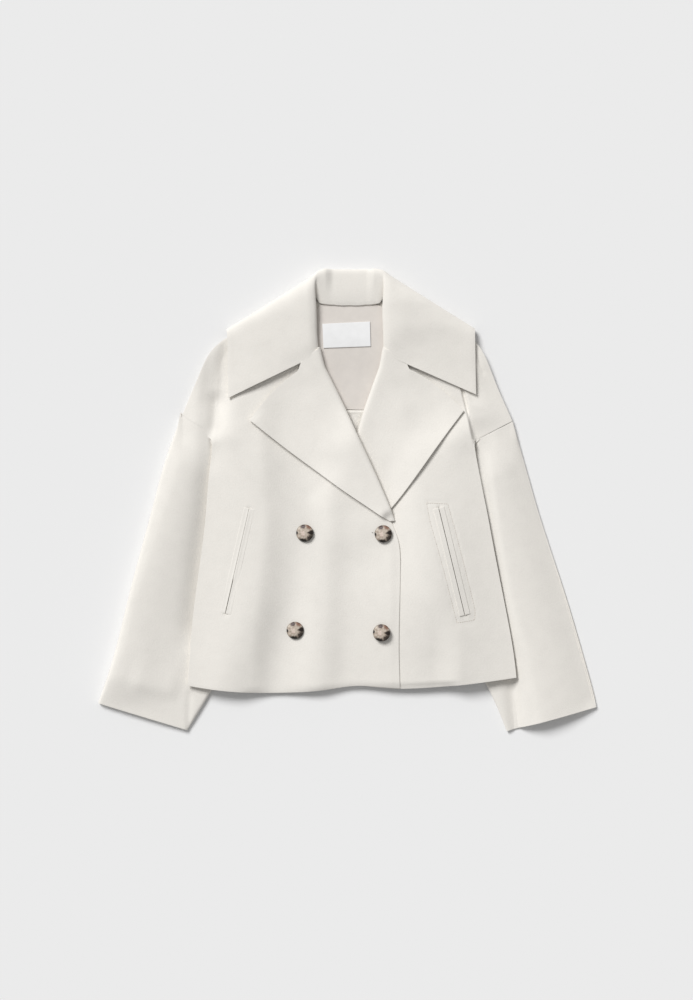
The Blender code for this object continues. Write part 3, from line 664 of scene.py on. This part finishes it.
def straighten_seam(corners):
    """Moves the foot of the collar's stand onto the line of the neckline seam."""
    x, y = corners[:, 0], corners[:, 1]
    packed = np.interp(x, SEAM_X, SEAM_Y)
    wanted = SEAM_MIDDLE[1] + SEAM_RISE * ((x - SEAM_MIDDLE[0]) / SEAM_HALF) ** 2
    share = 1.0 - smoothstep((y - packed) / STAND_HEIGHT)
    inside = smoothstep((STAND_HALF - np.abs(x - SEAM_MIDDLE[0])) / STAND_SIDE_FADE)
    inside = inside * (y > STAND_FOOT_Y) * (corners[:, 2] < STAND_TOP_Z)
    corners[:, 1] += (wanted - packed) * share * inside


def lay_cloth(node, corners):
    """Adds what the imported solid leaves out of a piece's laid shape; corners are in mm."""
    side = "left" if "left" in node else "right"
    if node == "collar":
        straighten_seam(corners)
        tuck_gorge(corners, "left", node)
        tuck_gorge(corners, "right", node)
    if node.startswith("lapel"):
        tuck_gorge(corners, side, node)
    if node == "front_left":
        press_shoulder(corners)
    if node == "back_neck_lining":
        moved = smoothstep((corners[:, 1] - LINING_TOP["start"]) / LINING_TOP["fade"])
        corners[:, 1] += LINING_TOP["shift"] * moved
    if node.startswith("welt"):
        sink_welt(corners, side)
    lifted = smoothstep((corners[:, 2] - UPPER_LAYER) / UPPER_LAYER_FADE)
    rise = sum(swell(corners, facts) for facts in PIECE_SWELLS.get(node, {}).values())
    if node.startswith(ON_BODY):
        rise = rise + body_rise(corners)
    corners[:, 2] += rise * (lifted if node.startswith(("front", "sleeve")) else 1.0)
    if node == "front_right":
        blend_seam(corners, side)
    for facts in GROOVES.get(node, {}).values():
        groove(corners, facts)
    if node == "lapel_right":
        away, _, _, _ = beside(LAPEL_END, corners)
        corners += np.outer(smoothstep(1.0 - away / LAPEL_END_REACH), LAPEL_END_SHIFT)
    if node.startswith("sleeve"):
        meet_shoulder(corners, side)
    if node in HEM_LAYERS:
        settle_hem(corners, node)


def height_finder(*nodes):
    """A function that gives the height of the built cloth at x, y, all in mm."""
    trees = []
    for node in nodes:
        mesh = bpy.data.objects[node + "_cloth"].data
        spots = [corner.co for corner in mesh.vertices]
        trees.append(BVHTree.FromPolygons(spots, [tuple(face.vertices) for face in mesh.polygons]))

    def height(x, y):
        start = Vector((x * MM, y * MM, RAY_HEIGHT))
        hits = [tree.ray_cast(start, Vector((0.0, 0.0, -1.0)))[0] for tree in trees]
        found = [hit.z / MM for hit in hits if hit]
        if not found:
            raise RuntimeError(f"No cloth of {nodes} lies at {x:.1f}, {y:.1f} mm")
        return max(found)

    return height


def outer_shell(node):
    """The side of a solid's cloth wall that faces out, as one open sheet of quads."""
    shape = bmesh.new()
    shape.from_mesh(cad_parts[node].data)
    bmesh.ops.remove_doubles(shape, verts=shape.verts, dist=WELD)
    bmesh.ops.join_triangles(
        shape, faces=shape.faces,
        angle_face_threshold=math.radians(FLAT_ANGLE), angle_shape_threshold=math.radians(SQUARE_ANGLE),
    )
    shape.normal_update()
    first = max(
        shape.faces, key=lambda face: face.calc_center_median().z + FACING_WEIGHT * face.normal.z,
    )
    kept = {first}
    front = [first]
    while front:
        face = front.pop()
        for edge in face.edges:
            for other in edge.link_faces:
                if other not in kept and edge.calc_face_angle(0.0) < math.radians(WALL_ANGLE):
                    kept.add(other)
                    front.append(other)
    bmesh.ops.delete(shape, geom=[face for face in shape.faces if face not in kept], context="FACES")
    return shape


def smoothed(name, shape, levels):
    """The sheet's mesh after rounds of subdivision that keep its corners."""
    mesh = bpy.data.meshes.new(name)
    shape.to_mesh(mesh)
    shape.free()
    draft = new_piece(name + "_draft", mesh)
    rounds = draft.modifiers.new("rounds", "SUBSURF")
    rounds.levels = levels
    rounds.render_levels = levels
    rounds.boundary_smooth = "PRESERVE_CORNERS"
    graph = bpy.context.evaluated_depsgraph_get()
    fine = bpy.data.meshes.new_from_object(draft.evaluated_get(graph))
    bpy.data.objects.remove(draft)
    bpy.data.meshes.remove(mesh)
    return fine


def walled(piece, thickness):
    """Gives the open sheet its wall, inwards from the side that shows, with soft rims."""
    wall = piece.modifiers.new("wall", "SOLIDIFY")
    wall.thickness = thickness * MM
    wall.offset = -1.0
    wall.use_even_offset = False
    rim = piece.modifiers.new("soft_rim", "BEVEL")
    rim.width = RIM_SHARE * thickness * MM
    rim.segments = RIM_SEGMENTS
    rim.limit_method = "ANGLE"
    rim.angle_limit = math.radians(RIM_ANGLE)
    rim.use_clamp_overlap = True


def cloth_piece(node, material):
    """A finer cloth wall in place of a solid, with its soft swells and pressed seams."""
    cut = CLOTH_PIECES[node]
    mesh = smoothed(node + "_cloth", outer_shell(node), cut.levels)
    corners = np.empty(len(mesh.vertices) * 3)
    mesh.vertices.foreach_get("co", corners)
    corners = corners.reshape(-1, 3) / MM
    lay_cloth(node, corners)
    mesh.vertices.foreach_set("co", (corners * MM).ravel())
    mesh.shade_smooth()
    mesh.name = node + "_cloth"
    piece = new_piece(node + "_cloth", mesh)
    walled(piece, cut.wall)
    piece.data.materials.clear()
    piece.data.materials.append(material)
    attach(piece, BODY)
    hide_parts(node)
    return piece


def shader_of(name):
    """A new material with its nodes, links and main shader."""
    material = bpy.data.materials.new(name)
    material.use_nodes = True
    nodes = material.node_tree.nodes
    return material, nodes, material.node_tree.links, nodes["Principled BSDF"]


def noise(nodes, links, source, size, detail):
    """Noise whose lumps are size metres across, on the piece's own coordinates."""
    pattern = nodes.new("ShaderNodeTexNoise")
    pattern.inputs["Scale"].default_value = 1.0 / size
    pattern.inputs["Detail"].default_value = detail
    links.new(source, pattern.inputs["Vector"])
    return pattern.outputs["Fac"]


def tone_ramp(nodes, links, factor, stops):
    """A colour ramp through the (place, colour) stops."""
    ramp = nodes.new("ShaderNodeValToRGB")
    entries = ramp.color_ramp.elements
    while len(entries) < len(stops):
        entries.new(0.5)
    for entry, (place, colour) in zip(entries, stops):
        entry.position = place
        entry.color = (*colour, 1.0)
    links.new(factor, ramp.inputs["Fac"])
    return ramp.outputs["Color"]


def bump(nodes, links, height, depth, below=None):
    """Bump of the given depth in metres over the normal of what is below it."""
    node = nodes.new("ShaderNodeBump")
    node.inputs["Strength"].default_value = 1.0
    node.inputs["Distance"].default_value = depth
    links.new(height, node.inputs["Height"])
    if below:
        links.new(below, node.inputs["Normal"])
    return node.outputs["Normal"]


def shades(colour, factors):
    """Ramp stops with the colour scaled by the factor at each place."""
    return [(place, [min(1.0, part * factor) for part in colour]) for place, factor in factors]


def set_surface(shader, values):
    for name, value in values.items():
        shader.inputs[name].default_value = value


def wool(name, colour, nap):
    """Brushed wool: soft mottling, short nap and a faint sheen."""
    material, nodes, links, shader = shader_of(name)
    spot = nodes.new("ShaderNodeTexCoord").outputs["Object"]
    mottle = noise(nodes, links, spot, WOOL_MOTTLE["size"], WOOL_MOTTLE["detail"])
    tuft = noise(nodes, links, spot, nap, WOOL_TUFT["detail"])
    fibre = noise(nodes, links, spot, WOOL_FIBRE["share"] * nap, WOOL_FIBRE["detail"])
    mixed = nodes.new("ShaderNodeMath")
    mixed.operation = "MULTIPLY_ADD"
    links.new(tuft, mixed.inputs[0])
    mixed.inputs[1].default_value = WOOL_TUFT["weight"]
    weighed = nodes.new("ShaderNodeMath")
    weighed.operation = "MULTIPLY"
    weighed.inputs[1].default_value = WOOL_MOTTLE["weight"]
    links.new(mottle, weighed.inputs[0])
    links.new(weighed.outputs[0], mixed.inputs[2])
    tone = tone_ramp(nodes, links, mixed.outputs[0], shades(colour, WOOL_SHADES))
    links.new(tone, shader.inputs["Base Color"])
    lumps = bump(nodes, links, tuft, WOOL_TUFT["depth"])
    links.new(bump(nodes, links, fibre, WOOL_FIBRE["depth"], lumps), shader.inputs["Normal"])
    set_surface(shader, WOOL_SURFACE)
    return material


def satin(name, colour, weave):
    """Smooth lining, woven label or thread: fine ribs and a low gloss."""
    material, nodes, links, shader = shader_of(name)
    spot = nodes.new("ShaderNodeTexCoord").outputs["Object"]
    ribs = nodes.new("ShaderNodeTexWave")
    ribs.bands_direction = "X"
    ribs.inputs["Scale"].default_value = BAND_LENGTH / weave["spacing"]
    ribs.inputs["Distortion"].default_value = SATIN_RIB_WAVER
    links.new(spot, ribs.inputs["Vector"])
    mottle = noise(nodes, links, spot, SATIN_MOTTLE["size"], SATIN_MOTTLE["detail"])
    tone = tone_ramp(nodes, links, mottle, shades(colour, SATIN_SHADES))
    links.new(tone, shader.inputs["Base Color"])
    links.new(bump(nodes, links, ribs.outputs["Fac"], SATIN_RIB_DEPTH), shader.inputs["Normal"])
    set_surface(shader, {"Roughness": weave["roughness"], "Specular IOR Level": GLOSS})
    return material


def finished(name, make, *facts):
    """The named material, made once."""
    return bpy.data.materials.get(name) or make(name, *facts)


def coat_wool():
    """The wool that every cloth piece shares."""
    settings = bpy.context.scene.coat_cloth
    return finished("coat_wool", wool, tuple(settings.wool_colour), settings.nap_size)


class COAT_OT_body(bpy.types.Operator):
    """Build the back and the two fronts"""

    bl_idname = "coat.body"
    bl_label = "Back and Fronts"
    bl_options = {"REGISTER", "UNDO"}

    def execute(self, context):
        for node in ("back", "front_left", "front_right"):
            piece = cloth_piece(node, coat_wool())
        return {"FINISHED"}


class COAT_OT_sleeves(bpy.types.Operator):
    """Build both sleeves as flattened tubes of brushed wool"""

    bl_idname = "coat.sleeves"
    bl_label = "Sleeves"
    bl_options = {"REGISTER", "UNDO"}

    def execute(self, context):
        for node in ("sleeve_left", "sleeve_right"):
            piece = cloth_piece(node, coat_wool())
        return {"FINISHED"}


class COAT_OT_neck(bpy.types.Operator):
    """Build the lining, its lower band and the bare label"""

    bl_idname = "coat.neck"
    bl_label = "Lining and Label"
    bl_options = {"REGISTER", "UNDO"}

    def execute(self, context):
        settings = context.scene.coat_cloth
        lining = finished("lining_satin", satin, tuple(settings.lining_colour), LINING_WEAVE)
        label = finished("label_weave", satin, tuple(settings.label_colour), LABEL_WEAVE)
        for node, material, slot in (
            ("back_neck_lining", lining, "lining"),
            ("lining_band", coat_wool(), "coat_cloth"),
            ("neck_label", label, "label"),
        ):
            piece = cloth_piece(node, material)
        return {"FINISHED"}


class COAT_OT_collar(bpy.types.Operator):
    """Build the collar and the two lapels"""

    bl_idname = "coat.collar"
    bl_label = "Collar and Lapels"
    bl_options = {"REGISTER", "UNDO"}

    def execute(self, context):
        for node in ("lapel_left", "lapel_right", "collar"):
            piece = cloth_piece(node, coat_wool())
        return {"FINISHED"}


class COAT_OT_pockets(bpy.types.Operator):
    """Build the welts of the two slanted pockets"""

    bl_idname = "coat.pockets"
    bl_label = "Pockets"
    bl_options = {"REGISTER", "UNDO"}

    def execute(self, context):
        for node in WELTS:
            piece = cloth_piece(node, coat_wool())
        return {"FINISHED"}


def stitch_row(name, path, nodes, colour):
    """A row of short thread stitches along a path on the built cloth of the nodes."""
    height = height_finder(*nodes)
    shape = bmesh.new()
    pitch = STITCH["length"] + STITCH["gap"]
    for start, end in zip(path, path[1:]):
        start, end = np.array(start), np.array(end)
        count = max(1, round(np.hypot(*(end - start)) / pitch))
        for index in range(count):
            ends = []
            for share in (index + STITCH["first"], index + STITCH["last"]):
                x, y = start + (end - start) * share / count
                z = height(x, y) + STITCH["stand"] * STITCH["radius"]
                ends.append(Vector((x, y, z)) * MM)
            stitch(shape, *ends)
    mesh = bpy.data.meshes.new(name)
    shape.to_mesh(mesh)
    shape.free()
    mesh.shade_smooth()
    mesh.materials.append(finished(name, satin, colour, THREAD_TWIST))
    piece = new_piece(name, mesh)
    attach(piece, BODY)
    return piece


def stitch(shape, start, end):
    """One stitch: a short strand whose ends dip into the cloth."""
    run = end - start
    across = Vector((-run.y, run.x, 0.0)).normalized()
    up = Vector((0.0, 0.0, 1.0))
    sides = STITCH["sides"]
    radius = STITCH["radius"]
    rings = []
    for facts in STITCH_RINGS:
        centre = start + run * facts["place"] - up * (facts["sink"] * radius * MM)
        ring = []
        for step in range(sides):
            angle = math.tau * step / sides
            offset = across * math.cos(angle) + up * math.sin(angle)
            ring.append(shape.verts.new(centre + offset * facts["size"] * radius * MM))
        rings.append(ring)
    for ring, after in zip(rings, rings[1:]):
        for step in range(sides):
            following = step + 1 - sides
            shape.faces.new((ring[step], ring[following], after[following], after[step]))
    shape.faces.new(rings[0][::-1])
    shape.faces.new(rings[-1])


class COAT_OT_stitching(bpy.types.Operator):
    """Sew the frame round the wearer's left pocket and the end of a buttonhole"""

    bl_idname = "coat.stitching"
    bl_label = "Stitching"
    bl_options = {"REGISTER", "UNDO"}

    def execute(self, context):
        settings = context.scene.coat_cloth
        thread = tuple(settings.thread_colour)
        stitch_row("pocket_frame_stitches", POCKET_FRAME, ("front_left",), thread)
        # The buttonhole's stitches are near-black: painted shade of its open slit
        stitch_row("buttonhole_end", BUTTONHOLE_END, ("front_right",), BUTTONHOLE_SLIT_SHADE)
        return {"FINISHED"}


def tortoiseshell(name):
    """Glossy button material that reads the colours painted on the button: shell patches, a pale middle that
    is partly a painted highlight, and painted shade at the rim.
    """
    material, nodes, links, shader = shader_of(name)
    painted = nodes.new("ShaderNodeAttribute")
    painted.attribute_name = "shell_and_painted_light"
    links.new(painted.outputs["Color"], shader.inputs["Base Color"])
    set_surface(shader, BUTTON_SURFACE)
    return material


def turns(angle, share, facts):
    """A wave round a button that curls towards its rim."""
    return np.sin(np.radians(angle * facts["count"]) + facts["curl"] * share)


def patch_weight(patch, angle, share):
    """How strongly a patch with a ragged edge covers each corner of a button."""
    across = ((angle - patch.angle + 180.0) % 360.0 - 180.0) / patch.spread
    ragged = 1.0 + sum(
        wave["depth"] * np.sin(np.radians(angle * wave["count"] + wave["turn"] * patch.angle))
        for wave in PATCH_WAVES
    )
    deep = (share - patch.radius) / (patch.depth * ragged)
    return patch.strength * smoothstep(PATCH_SLOPE * (1.0 - np.hypot(across, deep)) + PATCH_REACH)


def paint_shell_and_painted_light(mesh, centre, radius, turn):
    """Colours of a button: a pale ground with dark patches, rays and veins, a pale middle that is partly a
    painted highlight, and painted shade at the rim.
    """
    corners = np.empty(len(mesh.vertices) * 3)
    mesh.vertices.foreach_get("co", corners)
    offset = corners.reshape(-1, 3)[:, :2] - np.asarray(centre[:2])
    share = np.hypot(offset[:, 0], offset[:, 1]) / radius
    angle = np.degrees(np.arctan2(offset[:, 1], offset[:, 0])) - turn
    rays = 0.5 + 0.5 * turns(angle, share, BUTTON_RAYS)
    colour = np.array(BUTTON_GROUND) * (1.0 - BUTTON_RAYS["shade"] * rays * share)[:, None]
    for patch in BUTTON_PATCHES.values():
        weight = patch_weight(patch, angle, share)[:, None]
        colour = colour * (1.0 - weight) + np.array(patch.colour) * weight
    first, second = BUTTON_VEINS
    veins = smoothstep(0.5 + turns(angle, share, first) * turns(angle, share, second))
    dark = VEIN_SHADE * veins * smoothstep(share / VEIN_CLEAR)
    colour = colour * (1.0 - np.outer(dark, VEIN_TINT))
    # Painted shade: the colour darkens towards the rim all round
    rim = smoothstep((share - BUTTON_RIM_SHADE["start"]) / BUTTON_RIM_SHADE["fade"])[:, None]
    colour = colour * (1.0 - BUTTON_RIM_SHADE["shade"] * rim)
    layer = mesh.color_attributes.new("shell_and_painted_light", "FLOAT_COLOR", "POINT")
    layer.data.foreach_set("color", np.hstack((colour, np.ones((len(colour), 1)))).ravel())


def ride_body(shape, centre):
    """Lifts and leans a small flat shape with the cloth below it."""
    reach = BUTTON_LEAN_REACH
    offsets = np.array(((0, 0), (reach, 0), (0, reach), (-reach, 0), (0, -reach)))
    rise, east, north, west, south = body_rise(np.array(centre[:2]) / MM + offsets)
    lean_x = (east - west) / (2.0 * reach)
    lean_y = (north - south) / (2.0 * reach)
    for corner in shape.verts:
        offset = corner.co - centre
        corner.co.z += rise * MM + lean_x * offset.x + lean_y * offset.y


def button_profile():
    """Radius and height of a button from its foot to its top, as shares of its own."""
    dome = []
    for angle in BUTTON_DOME["angles"]:
        height = BUTTON_DOME["middle"] + BUTTON_DOME["middle"] * math.sin(math.radians(angle))
        dome.append((BUTTON_DOME["radius"] * math.cos(math.radians(angle)), height))
    return [*BUTTON_FOOT, *dome, (0.0, 1.0)]


def button_piece(node):
    """A domed button with a soft rim, turned round the solid's own centre."""
    low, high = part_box(node)
    centre = 0.5 * (low + high)
    radius = 0.5 * BUTTON_SHARE * (high.x - low.x)
    tall = high.z - low.z
    shape = bmesh.new()
    corners = [shape.verts.new((radius * r, 0.0, low.z + tall * z)) for r, z in button_profile()]
    edges = [shape.edges.new(pair) for pair in zip(corners, corners[1:])]
    bmesh.ops.spin(
        shape, geom=corners + edges, axis=(0.0, 0.0, 1.0), cent=(0.0, 0.0, 0.0),
        steps=BUTTON_STEPS, angle=math.tau, use_merge=True,
    )
    bmesh.ops.remove_doubles(shape, verts=shape.verts, dist=BUTTON_WELD)
    bmesh.ops.recalc_face_normals(shape, faces=shape.faces)
    for _ in range(2):
        steep = [
            edge for edge in shape.edges
            if abs(edge.verts[0].co.z - edge.verts[1].co.z) > BUTTON_EDGE
        ]
        bmesh.ops.subdivide_edges(shape, edges=steep, cuts=1)
    bmesh.ops.translate(shape, verts=shape.verts, vec=(centre.x, centre.y, -BUTTON_SINK * MM))
    ride_body(shape, centre)
    mesh = bpy.data.meshes.new(node + "_gloss")
    shape.to_mesh(mesh)
    shape.free()
    paint_shell_and_painted_light(mesh, centre, radius, BUTTON_TURNS[node])
    mesh.shade_smooth()
    mesh.materials.append(finished("tortoiseshell_gloss", tortoiseshell))
    piece = new_piece(node + "_gloss", mesh)
    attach(piece, BODY)
    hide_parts(node)
    return piece


class COAT_OT_buttons(bpy.types.Operator):
    """Build the four domed tortoiseshell buttons"""

    bl_idname = "coat.buttons"
    bl_label = "Buttons"
    bl_options = {"REGISTER", "UNDO"}

    def execute(self, context):
        for node in BUTTON_TURNS:
            button_piece(node)
        return {"FINISHED"}


class COAT_OT_stage(bpy.types.Operator):
    """Set the plain pale floor, the soft light and the camera straight above"""

    bl_idname = "coat.stage"
    bl_label = "Stage"
    bl_options = {"REGISTER", "UNDO"}

    def execute(self, context):
        settings = context.scene.coat_stage
        shape = bmesh.new()
        bmesh.ops.create_grid(shape, x_segments=1, y_segments=1, size=FLOOR_HALF)
        mesh = bpy.data.meshes.new("floor")
        shape.to_mesh(mesh)
        shape.free()
        floor = new_piece("floor", mesh)
        floor.location.z = -FLOOR_DROP
        material, _, _, shader = shader_of("floor_paper")
        shader.inputs["Base Color"].default_value = (*settings.floor_colour, 1.0)
        set_surface(shader, {"Roughness": 1.0, "Specular IOR Level": 0.0})
        mesh.materials.append(material)

        world = bpy.data.worlds.new("soft_room")
        world.use_nodes = True
        surround = world.node_tree.nodes["Background"]
        surround.inputs["Color"].default_value = (1.0, 1.0, 1.0, 1.0)
        surround.inputs["Strength"].default_value = settings.room_strength
        context.scene.world = world
        lamp = bpy.data.lights.new("key", "SUN")
        lamp.energy = settings.key_strength
        lamp.angle = settings.key_softness
        key = bpy.data.objects.new("key", lamp)
        key.rotation_euler = (-Vector(KEY_FROM)).to_track_quat("-Z", "Y").to_euler()
        context.scene.collection.objects.link(key)

        lens = bpy.data.cameras.new("camera")
        lens.sensor_fit = "VERTICAL"
        lens.sensor_height = SENSOR
        lens.lens = SENSOR * settings.camera_height / settings.view_height
        camera = bpy.data.objects.new("camera", lens)
        camera.location = (*CAMERA_PLACE, settings.camera_height)
        context.scene.collection.objects.link(camera)
        context.scene.camera = camera
        context.scene.view_settings.view_transform = "Standard"
        return {"FINISHED"}


class COAT_PT_sidebar(bpy.types.Panel):
    """The coat's sizes, colours and steps"""

    bl_label = "Short Coat"
    bl_space_type = "VIEW_3D"
    bl_region_type = "UI"
    bl_category = "Coat"

    def draw(self, context):
        for group in (context.scene.coat_cloth, context.scene.coat_stage):
            for name in group.__annotations__:
                self.layout.prop(group, name)
        for step in STEPS:
            self.layout.operator(step.bl_idname)


STEPS = (
    COAT_OT_body,
    COAT_OT_sleeves,
    COAT_OT_neck,
    COAT_OT_collar,
    COAT_OT_pockets,
    COAT_OT_stitching,
    COAT_OT_buttons,
    COAT_OT_stage,
)
SETTINGS = (CoatClothSettings, CoatStageSettings)


def register():
    for one in (*SETTINGS, *STEPS, COAT_PT_sidebar):
        bpy.utils.register_class(one)
    bpy.types.Scene.coat_cloth = PointerProperty(type=CoatClothSettings)
    bpy.types.Scene.coat_stage = PointerProperty(type=CoatStageSettings)


def unregister():
    del bpy.types.Scene.coat_stage
    del bpy.types.Scene.coat_cloth
    for one in reversed((*SETTINGS, *STEPS, COAT_PT_sidebar)):
        bpy.utils.unregister_class(one)


def main():
    register()
    for step in STEPS:
        category, name = step.bl_idname.split(".")
        getattr(getattr(bpy.ops, category), name)()


if __name__ == "__main__":
    main()
